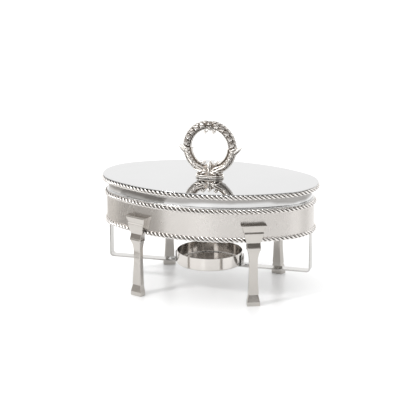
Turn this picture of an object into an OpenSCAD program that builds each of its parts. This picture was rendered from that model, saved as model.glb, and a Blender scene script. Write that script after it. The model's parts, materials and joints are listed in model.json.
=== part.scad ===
// Oval chafing dish: a rope-bordered band on four square legs, with a water pan, a food pan,
// a flat lid with an upright ring handle, and a round burner dish on a strap below.
// Millimetres. Z is up, X runs along the oval, and the feet stand on z = 0 under its middle.

/* [Oval] */
// Half of the band's width, along Y
half_wid = 106; // [104:1:108]
// Radius of the oval's two ends
end_r = 71; // [70:1:72]

/* [Band] */
// Height of the lower rope's middle
lower_rope_z = 109; // [107:0.5:110]
// Height of the upper rope's middle
upper_rope_z = 155.5; // [154:0.5:157.5]
// Radius of the rope borders
rope_r = 4.2; // [3.6:0.1:4.6]
// Thickness of the band's sheet
band_t = 1.5; // [1.2:0.1:1.8]

/* [Lid] */
// Height of the lid rope's middle
lid_rope_z = 180.7; // [179:0.1:184]
// How far the lid rope's middle stands outside the band
lid_rope_out = 4.5; // [3.5:0.1:5.5]
// Thickness of the lid's top sheet
lid_t = 1.2; // [1:0.1:2]

/* [Ring handle] */
// Radius of the ring's middle line
ring_r = 38.7; // [37:0.1:40]
// Radius of the ring's round section
ring_bar = 7.6; // [7:0.1:7.8]
// Height of the ring's middle above the lid
ring_up = 49.6; // [49:0.1:52]
// Reach of the side spurs from the ring's middle
spur_reach = 56; // [52:1:60]

/* [Pans] */
// Sheet thickness of both pans
pan_t = 1; // [0.8:0.1:1.2]
// Height of the food pan's underside
food_z = 128.5; // [127:0.5:132]
// Height of the water pan's underside
water_z = 116.5; // [115:0.5:118]

/* [Legs] */
// Turn of each leg around the long side, from the X axis
leg_turn = 67; // [64:0.5:70]
// How far the leg's axis stands outside the band
leg_out = 0; // [-0.4:0.1:0.4]
// Height of the capital's top
capital_z = 135.5; // [134:0.5:138]

/* [Burner] */
// Outer radius of the burner dish
dish_r = 55.5; // [50:0.5:58]
// Height of the burner dish
dish_h = 21.5; // [18:0.5:24]
// Width of the strap
strap_w = 17; // [14:0.5:20]
// Thickness of the strap
strap_t = 2; // [1.5:0.1:2.5]
// Height of the strap's upper face, where the dish stands
strap_z = 38.5; // [35:0.5:42]

/* [Hidden] */
$fn = 96;
round_fn = 40;                      // small round sections
lip_drop = 5;                       // how deep the drip ring hangs in the food pan
neck_h = 6.8;                       // how far the capitals' necks reach below the lower rope

// the oval is four arcs: two ends centred on X and two long sides centred on Y. A 3-4-5 triangle
// between the centres keeps the arcs tangent, and its long edge is where they meet.
centre_unit = half_wid - end_r;
end_x = 3 * centre_unit;
side_y = 4 * centre_unit;
side_r = end_r + 5 * centre_unit;
half_len = end_x + end_r;

// heights that follow from the ones above
band_top = upper_rope_z + rope_r;
band_foot = lower_rope_z - rope_r + 0.6;
food_rim_z = band_top + pan_t;      // underside of the food pan's rim
lid_foot = food_rim_z + pan_t;      // where the lid stands
lid_under = lid_rope_z + rope_r;    // the top sheet lies on its rope
lid_top = lid_under + lid_t;
ring_z = lid_top + ring_up;
leg_top = lower_rope_z - rope_r - neck_h;
dish_top = strap_z + dish_h;

// distances from the band's outer face, minus inwards
water_wall = -6;
food_wall = -12;
lip_wall = food_wall - pan_t - 0.6;
lid_edge = 6.5;                     // edge of the lid's top sheet, over the rope
skirt_foot = -3;                    // outer face of the lid's skirt where it stands
skirt_t = 1;
lip_t = 1;
rope_face = 0.6;                    // where the lid's rope is cut to meet the skirt
base_h = 4.4;                       // height of the handle's foot
base_reach = 24;                    // half of its length

// fasteners
screw_r = 2;                        // shank of every screw
hole_r = 2.1;                       // its clearance hole
head_r = 3.8;
head_h = 2.2;
washer_r = 4.4;
washer_t = 0.8;
nut_r = 4;                          // across the corners
nut_h = 3;
handle_screw_x = 11;                // handle screws, to each side of the middle
bracket_screw_zs = [118, 129];      // two screws, one above the other, in each capital
bracket_screw_reach = 5.5;          // how far they reach into it
bracket_washer_in = -band_t - washer_t - 0.1;  // washers, a hair off the curved band
strap_screw_in = 10;                // strap screw, inwards from the strap's upright
lug_rivet_out = 8;                  // lug rivet, outwards from the lug
stud_r = 2.5;

// strap
strap_x = half_len - band_t - 1;    // outer face of the strap's uprights
strap_top = lower_rope_z + 1.5;
strap_bend = 6;

// colours
bright = "gainsboro";
plated = "silver";
satin = "darkgray";

// ---------------------------------------------------------------- oval helpers

// a flat oval, grown by o
module oval_2d(o = 0) {
    edge_x = end_x + (end_r + o) * 0.6;
    intersection() {
        side_disc(o, 1);
        side_disc(o, -1);
        square([2 * edge_x, 4 * half_wid], center = true);
    }
    for (s = [-1, 1]) translate([s * end_x, 0]) circle(r = end_r + o, $fn = 2 * $fn);
}

// the big disc whose edge is one long side
module side_disc(o, s) {
    translate([0, -s * side_y]) circle(r = side_r + o, $fn = 4 * $fn);
}

// carries a profile round the oval; its x is the distance outside the band, its y the height
module round_oval() {
    for (s = [-1, 1]) {
        translate([s * end_x, 0, 0]) intersection() {
            rotate_extrude($fn = 2 * $fn) translate([end_r, 0]) children();
            wedge([s * 150, 200], [s * 150, -200]);
        }
        translate([0, s * -side_y, 0]) intersection() {
            rotate_extrude($fn = 5 * $fn) translate([side_r, 0]) children();
            wedge([300, s * 400], [-300, s * 400]);
        }
    }
}

// a tall wedge from the axis out to two far corners
module wedge(a, b) {
    linear_extrude(300) polygon([[0, 0], a, b]);
}

// a half-round rope border standing on the band's face
module rope_profile(z, out = 0, cut = 0) {
    intersection() {
        translate([out, z]) circle(r = rope_r, $fn = round_fn);
        translate([cut, z - 2 * rope_r]) square(4 * rope_r);
    }
}

// a shallow sheet-metal pan: flat rim, straight wall and flat bottom
module pan(rim_z, rim_out, wall, bottom_z) {
    bottom_in = 30;
    round_oval() union() {
        translate([wall - pan_t, rim_z]) square([rim_out - wall + pan_t, pan_t]);
        translate([wall - pan_t, bottom_z]) square([pan_t, rim_z - bottom_z + pan_t]);
        translate([wall - bottom_in, bottom_z]) square([bottom_in, pan_t]);
    }
    translate([0, 0, bottom_z]) linear_extrude(pan_t) oval_2d(wall - bottom_in + 5);
}

// ---------------------------------------------------------------- lid

module lid_plate() {
    color(bright) difference() {
        translate([0, 0, lid_under]) linear_extrude(lid_t) oval_2d(lid_edge);
        for (s = [-1, 1])
            translate([s * handle_screw_x, 0, lid_under - 1]) cylinder(r = hole_r, h = lid_t + 2);
    }
}

// a cove: upright where it stands on the pan's rim, then swept out to the rope
module lid_skirt() {
    cove_z = lid_foot + 1;
    cove_h = lid_rope_z - 3 - cove_z;
    cove_out = rope_face - skirt_foot;
    seat_in = 9;                    // how far the flange under the top sheet reaches inwards
    function cove(turn, back) =
        [skirt_foot - back * cos(turn) + cove_out * (1 - cos(turn)), cove_z + (cove_h + back) * sin(turn)];
    color(bright) round_oval() polygon([
        [skirt_foot - skirt_t, lid_foot], [skirt_foot, lid_foot],
        for (turn = [0:15:90]) cove(turn, 0),
        [rope_face, lid_under], [rope_face - seat_in, lid_under],
        [rope_face - seat_in, lid_under - skirt_t], [rope_face - skirt_t, lid_under - skirt_t],
        for (turn = [75:-15:0]) cove(turn, skirt_t)]);
}

module lid_rope() {
    color(plated) round_oval() rope_profile(lid_rope_z, lid_rope_out, rope_face);
}

module lid_lip() {
    color(satin) round_oval() union() {
        translate([lip_wall - lip_t, lid_foot])
            square([skirt_foot - skirt_t - 0.1 - lip_wall + lip_t, lip_t]);
        translate([lip_wall - lip_t, lid_foot - lip_drop]) square([lip_t, lip_drop + lip_t / 2]);
    }
}

// ---------------------------------------------------------------- handle

// stands its child upright, facing along Y, with the ring's middle at the origin
module at_ring() {
    translate([0, 0, ring_z]) rotate([90, 0, 0]) children();
}

module ring_arc(from, to) {
    rotate(from) rotate_extrude(angle = to - from, $fn = 2 * round_fn)
        translate([ring_r, 0]) circle(r = ring_bar, $fn = round_fn);
}

module handle_ring() {
    color(plated) at_ring() ring_arc(0, 180);
}

// a pointed leaf tip in the ring's plane
module spur(s) {
    root = ring_r + ring_bar;
    translate([0, 0, -3]) linear_extrude(6)
        polygon([[s * (root - 9), 0], [s * spur_reach, 0], [s * (root - 1), -10], [s * (root - 9), -16]]);
}

module handle_cradle() {
    neck_top = ring_z - ring_r;
    base_top = lid_top + base_h;
    color(plated) difference() {
        union() {
            at_ring() {
                ring_arc(180, 360);
                spur(1);
                spur(-1);
            }
            // leafy socket, nearly as long as the foot it stands on
            intersection() {
                translate([0, 15, 0]) rotate([90, 0, 0]) linear_extrude(30) polygon([
                    [-20, base_top], [20, base_top], [19, base_top + 7], [14, neck_top + 4],
                    [6, neck_top + 12], [-6, neck_top + 12], [-14, neck_top + 4], [-19, base_top + 7]]);
                translate([-30, 0, 0]) rotate([90, 0, 90]) linear_extrude(60) polygon([
                    [-10, base_top], [10, base_top], [8, base_top + 8], [5, neck_top + 12],
                    [-5, neck_top + 12], [-8, base_top + 8]]);
            }
        }
        for (s = [-1, 1]) translate([s * handle_screw_x, 0, base_top - 1]) cylinder(r = screw_r, h = 8);
        linear_extrude(base_top) square([2 * spur_reach, 4 * ring_bar], center = true);
    }
}

// an oblong spool: foot, waist and cap
module handle_base() {
    color(plated) difference() {
        translate([0, 0, lid_top]) {
            linear_extrude(base_h) base_2d(base_reach - 1);
            for (z = [0, 0.65 * base_h])
                translate([0, 0, z]) linear_extrude(0.35 * base_h) base_2d(base_reach);
        }
        for (s = [-1, 1])
            translate([s * handle_screw_x, 0, lid_top - 1]) cylinder(r = hole_r, h = base_h + 2);
    }
}

module base_2d(reach) {
    end_round = reach / 2;
    square([2 * (reach - end_round), 2 * end_round], center = true);
    for (s = [-1, 1]) translate([s * (reach - end_round), 0]) circle(r = end_round);
}

module handle_screws() {
    color(satin) for (s = [-1, 1]) translate([s * handle_screw_x, 0, lid_under - washer_t])
        screw(washer_t + lid_t + base_h + 6);
}

module handle_washers() {
    color(satin) for (s = [-1, 1]) translate([s * handle_screw_x, 0, lid_under - washer_t]) washer();
}

// shank upwards from z = 0, with its head below
module screw(length) {
    cylinder(r = screw_r, h = length);
    translate([0, 0, -head_h]) cylinder(r = head_r, h = head_h);
}

module washer() {
    difference() {
        cylinder(r = washer_r, h = washer_t);
        translate([0, 0, -1]) cylinder(r = hole_r, h = washer_t + 2);
    }
}

// ---------------------------------------------------------------- pans

module food_pan() {
    color(bright) pan(food_rim_z, -0.8, food_wall, food_z);
}

module water_pan() {
    color(satin) pan(band_top, -0.4, water_wall, water_z);
}

// ---------------------------------------------------------------- band

module body_band() {
    color(bright) difference() {
        round_oval() translate([-band_t, band_foot]) square([band_t, band_top - band_foot]);
        each_leg() for (z = bracket_screw_zs)
            translate([-band_t - 4, 0, z]) rotate([0, 90, 0]) cylinder(r = hole_r, h = band_t + 8);
    }
}

module upper_rope() {
    color(plated) round_oval() rope_profile(upper_rope_z);
}

module lower_rope() {
    color(plated) round_oval() rope_profile(lower_rope_z);
}

// ---------------------------------------------------------------- legs

// places a leg on the band's face: x points out of the band, y runs across the leg
module at_leg(back, right) {
    rotate(back ? 0 : 180) translate([0, -side_y, 0])
        rotate(back == right ? leg_turn : 180 - leg_turn) translate([side_r, 0, 0]) children();
}

module each_leg() {
    for (back = [false, true]) for (right = [false, true]) at_leg(back, right) children();
}

// closes a half-width profile into an outline that is the same on both sides
function both_sides(profile) =
    concat(profile, [for (i = [len(profile) - 1:-1:0]) [-profile[i][0], profile[i][1]]]);

// a rectangular section that follows one profile on its front and both sides, with a plane back
module square_turned(profile) {
    intersection() {
        rotate([90, 0, 0]) linear_extrude(80, center = true)
            polygon(concat([[leg_back, leg_top], [leg_back, 0]], profile));
        rotate([90, 0, 90]) linear_extrude(80, center = true) polygon(both_sides(profile));
    }
}

// half-width and height of the leg, from its foot up
waist_r = 6.9;                      // half-width where the leg is slimmest
waist_z = 70;
foot_r = 10.6;                      // half-width of the foot
foot_h = 6.5;                       // height of its upright band
ankle_r = 8.7;                      // half-width at the top of the foot's slope
ankle_z = 18.5;
calf_r = 9.1;                       // half-width just above the ankle
calf_z = ankle_z + 1;
collar_r = 11.1;                    // half-width under the capital
leg_profile = concat(
    [[foot_r, 0], [foot_r, foot_h], [ankle_r, ankle_z]],
    [for (t = [0:0.125:1]) [waist_r + (calf_r - waist_r) * pow(1 - t, 2), calf_z + (waist_z - calf_z) * t]],
    [for (t = [0.25:0.125:1])
        [waist_r + (collar_r - waist_r) * pow(t, 3), waist_z + (leg_top - 3 - waist_z) * t]],
    [[collar_r, leg_top]]);
leg_back = -1.6;                    // back face of the leg and its capital, out from the leg's axis
stud_out = leg_out + 4.4;           // how far the studs stand outside the band
stud_up = 5;                        // how far they reach into the capital

module leg(back, right) {
    color(bright) at_leg(back, right) translate([leg_out, 0, 0]) difference() {
        square_turned(leg_profile);
        translate([stud_out - leg_out, 0, leg_top - 8]) cylinder(r = stud_r, h = 9);
    }
}

// half-width and height across the capital, from its neck up
capital_side = [[11.1, leg_top], [10.9, 105.6], [11.8, 105.6], [16.2, 121.7], [16.2, 124],
    [19.4, 133], [21, capital_z]];
// reach and height of the capital's front, from its neck up
capital_front = [[10.6, leg_top], [8, 105.6], [7.6, 105.6], [10.2, 121.7], [8.2, 124],
    [11, 133], [11, capital_z]];

// stepped capital: two inverted tiers over a plain neck, with room behind for the lower rope
module leg_bracket(back, right) {
    rope_room = rope_r + 0.3;
    room_z = lower_rope_z - rope_room;
    color(bright) difference() {
        at_leg(back, right) translate([leg_out, 0, 0]) difference() {
            intersection() {
                rotate([90, 0, 0]) linear_extrude(50, center = true)
                    polygon(concat([[leg_back, capital_z], [leg_back, leg_top]], capital_front));
                rotate([90, 0, 90]) linear_extrude(60, center = true) polygon(both_sides(capital_side));
            }
            translate([stud_out - leg_out, 0, leg_top - 1]) cylinder(r = stud_r, h = stud_up + 1.5);
            for (z = bracket_screw_zs)
                translate([-10, 0, z]) rotate([0, 90, 0])
                    cylinder(r = screw_r, h = 10 + bracket_screw_reach + 1);
        }
        translate([0, 0, room_z]) {
            linear_extrude(60) oval_2d(0);
            linear_extrude(2 * rope_room) oval_2d(rope_room);
        }
    }
}

module leg_bracket_front_left() { leg_bracket(false, false); }
module leg_bracket_front_right() { leg_bracket(false, true); }
module leg_bracket_back_left() { leg_bracket(true, false); }
module leg_bracket_back_right() { leg_bracket(true, true); }
module leg_front_left() { leg(false, false); }
module leg_front_right() { leg(false, true); }
module leg_back_left() { leg(true, false); }
module leg_back_right() { leg(true, true); }

module leg_studs() {
    color(satin) each_leg() translate([stud_out, 0, leg_top - 7]) cylinder(r = stud_r, h = 7 + stud_up);
}

module bracket_screws() {
    color(satin) each_leg() for (z = bracket_screw_zs)
        translate([bracket_washer_in, 0, z]) rotate([0, 90, 0])
            screw(bracket_screw_reach - bracket_washer_in);
}

module bracket_washers() {
    color(satin) each_leg() for (z = bracket_screw_zs)
        translate([bracket_washer_in, 0, z]) rotate([0, 90, 0]) washer();
}

// ---------------------------------------------------------------- strap and burner

// one rounded lower corner of the strap, centred on its bend
module strap_corner() {
    intersection() {
        difference() {
            circle(r = strap_bend);
            circle(r = strap_bend - strap_t);
        }
        translate([0, -strap_bend]) square(strap_bend);
    }
}

module strap_half_2d() {
    bottom = strap_z - strap_t;
    translate([0, bottom]) square([strap_x - strap_bend, strap_t]);
    translate([strap_x - strap_bend, bottom + strap_bend]) strap_corner();
    translate([strap_x - strap_t, bottom + strap_bend]) square([strap_t, strap_top - bottom - strap_bend]);
    translate([strap_x - 2 * strap_screw_in, strap_top - strap_t]) square([2 * strap_screw_in, strap_t]);
}

module burner_strap() {
    color(bright) difference() {
        rotate([90, 0, 0]) linear_extrude(strap_w, center = true) {
            strap_half_2d();
            mirror([1, 0]) strap_half_2d();
        }
        for (s = [-1, 1]) {
            translate([s * (strap_x - strap_screw_in), 0, strap_top - 10]) cylinder(r = hole_r, h = 20);
            translate([s * lug_rivet_x(), 0, strap_z - 10]) cylinder(r = screw_r, h = 20);
        }
    }
}

function lug_rivet_x() = dish_r + 0.6 + lug_rivet_out;

// small angles brazed inside the band's ends
module strap_brackets() {
    leaf = 1.5;
    color(satin) for (s = [0, 180]) rotate(s) difference() {
        intersection() {
            translate([0, 0, strap_top]) linear_extrude(12) oval_2d(-band_t);
            union() {
                translate([strap_x - 2 * strap_screw_in, -strap_w / 2, strap_top])
                    cube([2 * strap_screw_in + 4, strap_w, leaf]);
                translate([strap_x - 2.5, -strap_w / 2, strap_top]) cube([6, strap_w, 5.4]);
            }
        }
        translate([strap_x - strap_screw_in, 0, strap_top - 5]) cylinder(r = hole_r, h = 20);
    }
}

module strap_screws() {
    color(satin) for (s = [-1, 1]) translate([s * (strap_x - strap_screw_in), 0, strap_top - strap_t])
        screw(strap_t + 1.5 + nut_h);
}

module strap_nuts() {
    color(satin) for (s = [-1, 1]) translate([s * (strap_x - strap_screw_in), 0, strap_top + 1.5])
        difference() {
            cylinder(r = nut_r, h = nut_h, $fn = 6);
            translate([0, 0, -1]) cylinder(r = screw_r, h = nut_h + 2);
        }
}

// upturned lugs that keep the dish in the middle of the strap
module dish_lugs() {
    lug_t = 1.4;
    lug_h = 17;
    lug_x = dish_r + 0.6;
    color(bright) for (s = [0, 180]) rotate(s) difference() {
        union() {
            translate([lug_x, -strap_w / 2, strap_z]) cube([lug_t, strap_w, lug_h]);
            translate([lug_x, -strap_w / 2, strap_z]) cube([lug_rivet_out + 6, strap_w, lug_t]);
        }
        translate([lug_rivet_x(), 0, strap_z - 1]) cylinder(r = screw_r, h = 4);
    }
}

module lug_rivets() {
    color(satin) for (s = [-1, 1]) translate([s * lug_rivet_x(), 0, strap_z - strap_t]) {
        cylinder(r = screw_r, h = strap_t + 1.4);
        translate([0, 0, strap_t + 1.4]) cylinder(r = 3.4, h = 1.2);
        translate([0, 0, -1]) cylinder(r = 3.4, h = 1);
    }
}

module burner_dish() {
    wall = 1.2;
    color(plated) rotate_extrude() polygon([
        [0, strap_z], [dish_r - 2, strap_z], [dish_r, strap_z + 2], [dish_r, dish_top],
        [dish_r - wall, dish_top], [dish_r - wall, strap_z + 2.4], [dish_r - 2.4, strap_z + wall],
        [0, strap_z + wall]]);
}

// ---------------------------------------------------------------- node selection

lid_plate();
lid_skirt();
lid_rope();
lid_lip();
handle_ring();
handle_cradle();
handle_base();
handle_screws();
handle_washers();
food_pan();
water_pan();
body_band();
upper_rope();
lower_rope();
leg_bracket_front_left();
leg_bracket_front_right();
leg_bracket_back_left();
leg_bracket_back_right();
leg_front_left();
leg_front_right();
leg_back_left();
leg_back_right();
leg_studs();
bracket_screws();
bracket_washers();
burner_strap();
strap_brackets();
strap_screws();
strap_nuts();
dish_lugs();
lug_rivets();
burner_dish();
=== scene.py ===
import json
import math

import bpy
import numpy as np
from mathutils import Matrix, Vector

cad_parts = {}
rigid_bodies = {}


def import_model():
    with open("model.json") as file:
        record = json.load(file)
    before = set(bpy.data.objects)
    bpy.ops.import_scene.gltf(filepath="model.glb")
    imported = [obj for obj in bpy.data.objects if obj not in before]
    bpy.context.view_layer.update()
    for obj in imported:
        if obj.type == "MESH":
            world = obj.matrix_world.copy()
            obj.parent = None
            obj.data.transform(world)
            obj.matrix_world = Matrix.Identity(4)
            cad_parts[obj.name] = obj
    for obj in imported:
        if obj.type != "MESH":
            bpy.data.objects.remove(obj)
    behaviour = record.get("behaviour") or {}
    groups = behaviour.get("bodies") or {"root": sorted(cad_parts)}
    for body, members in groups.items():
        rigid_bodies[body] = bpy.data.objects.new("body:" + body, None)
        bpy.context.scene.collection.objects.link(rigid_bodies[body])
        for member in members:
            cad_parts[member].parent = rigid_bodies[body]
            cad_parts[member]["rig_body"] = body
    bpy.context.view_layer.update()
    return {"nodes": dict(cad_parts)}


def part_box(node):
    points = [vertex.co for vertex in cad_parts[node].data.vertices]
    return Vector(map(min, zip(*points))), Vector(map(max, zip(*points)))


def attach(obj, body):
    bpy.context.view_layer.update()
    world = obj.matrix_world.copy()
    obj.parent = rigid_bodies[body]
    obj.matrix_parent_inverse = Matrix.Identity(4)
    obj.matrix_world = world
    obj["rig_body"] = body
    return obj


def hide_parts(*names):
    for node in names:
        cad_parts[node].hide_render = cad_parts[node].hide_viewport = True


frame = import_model()
mm = 0.001
tau = 2 * math.pi
print("frame loaded:", len(frame["nodes"]), "nodes")


# ---- meshes from arrays

def outwards(points, faces):
    # the enclosed volume is a sixth of the sum of a . (b x c) over the triangles, and where it is
    # negative every face is turned round
    volume = 0
    for some in faces:
        for second in range(1, some.shape[1] - 1):
            a, b, c = points[some[:, 0]], points[some[:, second]], points[some[:, second + 1]]
            volume += np.einsum("ij,ij->", a, np.cross(b, c))
    return [some[:, ::-1] for some in faces] if volume < 0 else faces


def makeMesh(name, points, faces, body, replaced=(), material=None, attributes=None):
    # points is (n, 3) in millimetres, faces a list of index arrays with 3 or 4 columns
    faces = outwards(points, faces)
    corners = np.concatenate([f.ravel() for f in faces])
    sizes = np.concatenate([np.full(len(f), f.shape[1]) for f in faces])
    starts = np.concatenate([[0], np.cumsum(sizes)[:-1]])
    mesh = bpy.data.meshes.new(name)
    mesh.vertices.add(len(points))
    mesh.vertices.foreach_set("co", (points * mm).astype(np.float32).ravel())
    mesh.loops.add(len(corners))
    mesh.loops.foreach_set("vertex_index", corners.astype(np.int32))
    mesh.polygons.add(len(sizes))
    mesh.polygons.foreach_set("loop_start", starts.astype(np.int32))
    mesh.polygons.foreach_set("use_smooth", np.ones(len(sizes), bool))
    for key, values in (attributes or {}).items():
        layer = mesh.attributes.new(key, "FLOAT", "POINT")
        layer.data.foreach_set("value", values.astype(np.float32).ravel())
    mesh.update(calc_edges=True)
    mesh.validate()
    piece = bpy.data.objects.new(name, mesh)
    bpy.context.scene.collection.objects.link(piece)
    if material:
        mesh.materials.append(material)
    if body:
        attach(piece, body)
        if replaced:
            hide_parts(*replaced)
    return piece


def gridFaces(rows, columns, closeRows, closeColumns, first=0):
    # quads between neighbouring rows and columns of a (rows, columns) grid numbered row by row
    i = np.arange(rows if closeRows else rows - 1)[:, None]
    j = np.arange(columns if closeColumns else columns - 1)[None, :]
    down, right = (i + 1) % rows, (j + 1) % columns
    faces = np.stack([i * columns + j, down * columns + j, down * columns + right, i * columns + right], -1)
    return faces.reshape(-1, 4) + first


def manyTubes(rings):
    # rings is (tubes, stations, points, 3): skins each tube and closes both of its ends with a fan
    tubes, count, around = rings.shape[:3]
    points = np.concatenate([rings.reshape(tubes, -1, 3), rings[:, :1].mean(2), rings[:, -1:].mean(2)], 1)
    j = np.arange(around)
    right = (j + 1) % around
    last = (count - 1) * around
    sides = gridFaces(count, around, False, True)
    ends = np.concatenate([np.stack([j, right, np.full(around, count * around)], -1),
                           np.stack([last + right, last + j, np.full(around, count * around + 1)], -1)])
    shift = (np.arange(tubes) * points.shape[1])[:, None, None]
    return points.reshape(-1, 3), [(sides + shift).reshape(-1, 4), (ends + shift).reshape(-1, 3)]


def tube(rings):
    return manyTubes(rings[None])


def loop(rings):
    # rings is (stations, points, 3) and the last one meets the first
    return rings.reshape(-1, 3), [gridFaces(*rings.shape[:2], True, True)]


def joinShapes(shapes):
    # several (points, faces) pairs as one
    offset, points, faces = 0, [], []
    for somePoints, someFaces in shapes:
        points.append(somePoints)
        faces += [f + offset for f in outwards(somePoints, someFaces)]
        offset += len(somePoints)
    return np.concatenate(points), faces


def softOutline(corners, radius, steps=6, closed=True):
    # rounds each corner of a polyline with an arc, and adds a point just before and after the arc,
    # so that the flat stretches keep a flat shading
    longestCut, lead = 0.42, 1.15  # share of a side that an arc may take, and where the added point stands
    p = np.array(corners, float)
    r = np.broadcast_to(np.asarray(radius, float), len(p))
    out = []
    for k in range(len(p)):
        if not closed and k in (0, len(p) - 1):
            out.append(p[k][None])
            continue
        before, after = p[k - 1] - p[k], p[(k + 1) % len(p)] - p[k]
        reachBefore, reachAfter = np.linalg.norm(before), np.linalg.norm(after)
        before, after = before / reachBefore, after / reachAfter
        half = math.acos(np.clip(before @ after, -1, 1)) / 2
        cut = min(r[k] / math.tan(half), longestCut * reachBefore, longestCut * reachAfter)
        arcRadius = cut * math.tan(half)
        middle = p[k] + (before + after) / np.linalg.norm(before + after) * arcRadius / math.sin(half)
        start, end = p[k] + before * cut - middle, p[k] + after * cut - middle
        sweep = math.pi - 2 * half
        t = np.linspace(0, 1, steps + 1)[:, None]
        arc = (np.sin((1 - t) * sweep) * start + np.sin(t * sweep) * end) / max(math.sin(sweep), 1e-6)
        out += [(p[k] + before * cut * lead)[None], middle + arc, (p[k] + after * cut * lead)[None]]
    return np.concatenate(out)


# ---- the oval: four arcs whose centres stand on a 3-4-5 triangle

bandLow, bandHigh = (np.array(c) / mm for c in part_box("body_band"))
skirtLow, skirtHigh = (np.array(c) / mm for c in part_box("lid_skirt"))
centreUnit = (bandHigh[0] - bandHigh[1]) / 2
endRadius = bandHigh[1] - centreUnit
sideRadius = endRadius + 5 * centreUnit
cornerTurn = math.atan2(4, 3)


def ovalStations(count):
    # evenly spaced stations: the arc centre, its radius and the outward direction at each
    turns = np.array([-cornerTurn, cornerTurn, math.pi - cornerTurn, math.pi + cornerTurn,
                      tau - cornerTurn])
    radii = np.array([endRadius, sideRadius, endRadius, sideRadius])
    run = np.concatenate([[0], np.cumsum(radii * np.diff(turns))])
    along = np.arange(count) / count * run[-1]
    turn = np.interp(along, run, turns)
    arc = np.clip(np.searchsorted(run, along, side="right") - 1, 0, 3)
    centres = np.array([[3, 0], [0, -4], [-3, 0], [0, 4]]) * centreUnit
    return centres[arc], radii[arc], np.stack([np.cos(turn), np.sin(turn)], -1), run[-1]


def ovalRings(offsets, heights, count=360):
    # carries (offset, height) points round the oval: centre + (radius + offset) * direction
    centre, radius, outward, _ = ovalStations(count)
    offsets, heights = (np.broadcast_to(a, (count, np.shape(a)[-1])) for a in (offsets, heights))
    flat = centre[:, None] + (radius[:, None] + offsets)[..., None] * outward[:, None]
    return np.concatenate([flat, heights[..., None]], -1)


def ovalSheet(profile, count=360):
    # a solid whose (offset, height) profile starts and ends at the middle of the oval:
    # the points past the rim shrink towards the middle as share * edge
    share, offset, height = profile.T
    edge = ovalRings(offset, height, count)
    edge[..., :2] *= share[None, :, None]
    return tube(edge.transpose(1, 0, 2))


# ---- shader maths

class Wire:
    # a socket that can be added, subtracted and multiplied like a number
    def __init__(self, kit, socket):
        self.kit, self.socket = kit, socket

    def sum(self, operation, *values):
        inputs = dict(enumerate(values))
        return self.kit.node("ShaderNodeMath", {"operation": operation}, inputs)

    def __add__(self, other):
        return self.sum("ADD", self, other)

    def __sub__(self, other):
        return self.sum("SUBTRACT", self, other)

    def __rsub__(self, other):
        return self.sum("SUBTRACT", other, self)

    def __mul__(self, other):
        return self.sum("MULTIPLY", self, other)

    __radd__ = __add__
    __rmul__ = __mul__


class Finish:
    # one material and the nodes it is made of
    def __init__(self, name, **fixed):
        self.material = bpy.data.materials.new(name)
        self.material.use_nodes = True
        self.tree = self.material.node_tree
        self.shader = self.tree.nodes["Principled BSDF"]
        for key, value in fixed.items():
            self.shader.inputs[key.replace("_", " ")].default_value = value
        self.place = self.node("ShaderNodeTexCoord", out="Object")

    def node(self, kind, settings=None, inputs=None, out=0):
        made = self.tree.nodes.new(kind)
        for key, value in (settings or {}).items():
            if key == "stops":
                while len(made.color_ramp.elements) < len(value):
                    made.color_ramp.elements.new(0.5)
                for element, (position, shade) in zip(made.color_ramp.elements, value):
                    element.position = position
                    element.color = (shade, shade, shade, 1)
            else:
                setattr(made, key, value)
        for key, value in (inputs or {}).items():
            if isinstance(value, Wire):
                self.tree.links.new(value.socket, made.inputs[key])
            else:
                made.inputs[key].default_value = value
        return Wire(self, made.outputs[out])

    def noise(self, scale, detail=3, stretch=(1, 1, 1), roughness=0.5):
        spot = self.node("ShaderNodeMapping", {}, {"Vector": self.place, "Scale": stretch})
        return self.node("ShaderNodeTexNoise", {}, {"Vector": spot, "Scale": scale, "Detail": detail,
                                                    "Roughness": roughness})

    def ramp(self, value, *stops):
        return self.node("ShaderNodeValToRGB", {"stops": stops}, {"Fac": value})

    def blend(self, share, one, other):
        return self.node("ShaderNodeMix", {"data_type": "RGBA"}, {0: share, 6: one, 7: other}, out=2)

    def bump(self, height, strength, distance):
        return self.node("ShaderNodeBump", {}, {"Height": height, "Strength": strength,
                                                "Distance": distance})

    def attribute(self, name):
        return self.node("ShaderNodeAttribute", {"attribute_name": name}, out="Fac")

    def drive(self, key, value):
        self.tree.links.new(value.socket, self.shader.inputs[key])


def polishedSheet(name, light, dark, rough, peel):
    # mirror polish: broad faint clouding, wiping marks and a barely uneven surface
    finish = Finish(name, Metallic=1.0)
    cloud = finish.ramp(finish.noise(9, 4), (0.3, 0), (0.7, 1))
    wipes = finish.ramp(finish.noise(60, 5, (1, 5, 1)), (0.45, 0), (0.75, 1))
    finish.drive("Base Color", finish.blend(cloud, dark, light))
    finish.drive("Roughness", rough + 0.03 * wipes + 0.02 * cloud)
    finish.drive("Normal", finish.bump(finish.noise(24, 1), peel, 0.002))
    return finish.material


def platingWithPaintedShade(name, light, dark, rough, grain, starts, ends):
    # plating that stays bright on the high places, with painted shade: the base colour darkens in the
    # hollows, where shade falls
    finish = Finish(name, Metallic=1.0)
    hollow = finish.attribute("hollow")
    tone = finish.noise(120, 3)
    depth = finish.ramp(hollow + 0.15 * tone, (starts, 0), (ends, 1))
    # painted shade: the dark colour is mixed in where the hollow attribute is high
    finish.drive("Base Color", finish.blend(depth, light, dark))
    finish.drive("Roughness", rough + 0.2 * depth + 0.04 * tone)
    finish.drive("Normal", finish.bump(finish.noise(grain, 3), 0.12, 0.0006))
    return finish.material


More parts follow.
